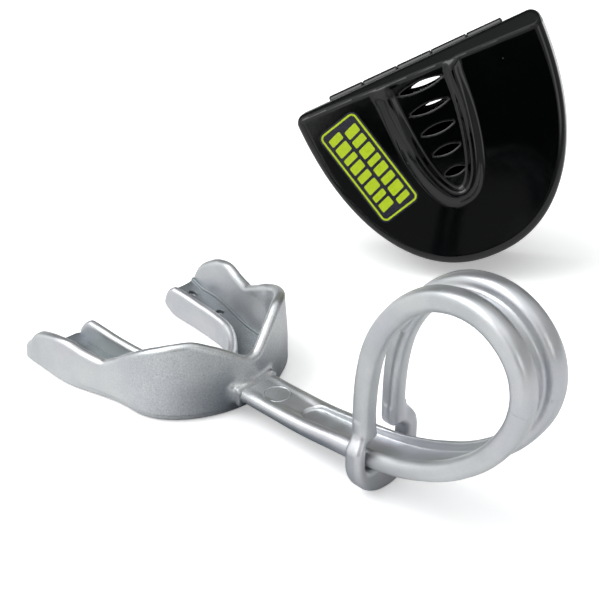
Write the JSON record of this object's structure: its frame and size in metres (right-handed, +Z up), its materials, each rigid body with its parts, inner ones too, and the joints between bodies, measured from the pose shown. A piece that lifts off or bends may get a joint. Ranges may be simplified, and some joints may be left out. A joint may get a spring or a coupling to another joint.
{
  "type": "mouthguard with case",
  "caption": "Tethered boxing mouthguard with a bite tray, flat strap and slotted keeper loop, and a vented D-shaped clamshell case with a hinged lid.",
  "frame": {"origin": "on the level plane that the set rests on, 2.2 mm in front of the tray's front face on the mouthguard's centre line", "axes": "+X from the tray along the strap to the loop, +Y to the side where the case stands, +Z up"},
  "size_m": [0.1665, 0.1731, 0.0807],
  "materials": {
    "guard_silver": "satin pearl silver moulded EVA with fine speckle",
    "liner_silver": "satin silver, softer and slightly darker",
    "strap_silver": "satin pearl silver moulded EVA",
    "case_black": "high gloss black injection moulding",
    "pin_steel": "plain steel rod",
    "badge_lime": "printed vinyl sticker, lime on dark"
  },
  "bodies": {
    "mouthguard": {"guard_shell": "guard_silver", "bite_liner": "liner_silver", "strap_socket": "guard_silver"},
    "strap": {"strap_strip": "strap_silver", "loop_feed": "strap_silver"},
    "keeper": {"loop_return": "strap_silver", "keeper_ring": "strap_silver"},
    "case": {"case_base": "case_black", "hinge_pin": "pin_steel"},
    "lid": {"case_lid": "case_black", "lid_badge": "badge_lime"}
  },
  "joints": [
    {"name": "strap_flex", "type": "hinge", "parent": "mouthguard", "child": "strap", "pos_m": [0.0009, 0, 0.0069], "axis": [0, -1, 0], "range_deg": [0, 40]},
    {"name": "keeper_slide", "type": "slide", "parent": "strap", "child": "keeper", "axis": [-0.996, 0, -0.0889], "range_m": [0, 0.015]},
    {"name": "case_lift", "type": "slide", "parent": "mouthguard", "child": "case", "axis": [0, 0, 1], "range_m": [0, 0.08]},
    {"name": "lid_hinge", "type": "hinge", "parent": "case", "child": "lid", "pos_m": [-0.04062, 0.10608, 0.06138], "axis": [-0.6253, -0.636, -0.4523], "range_deg": [0, 120]}
  ]
}
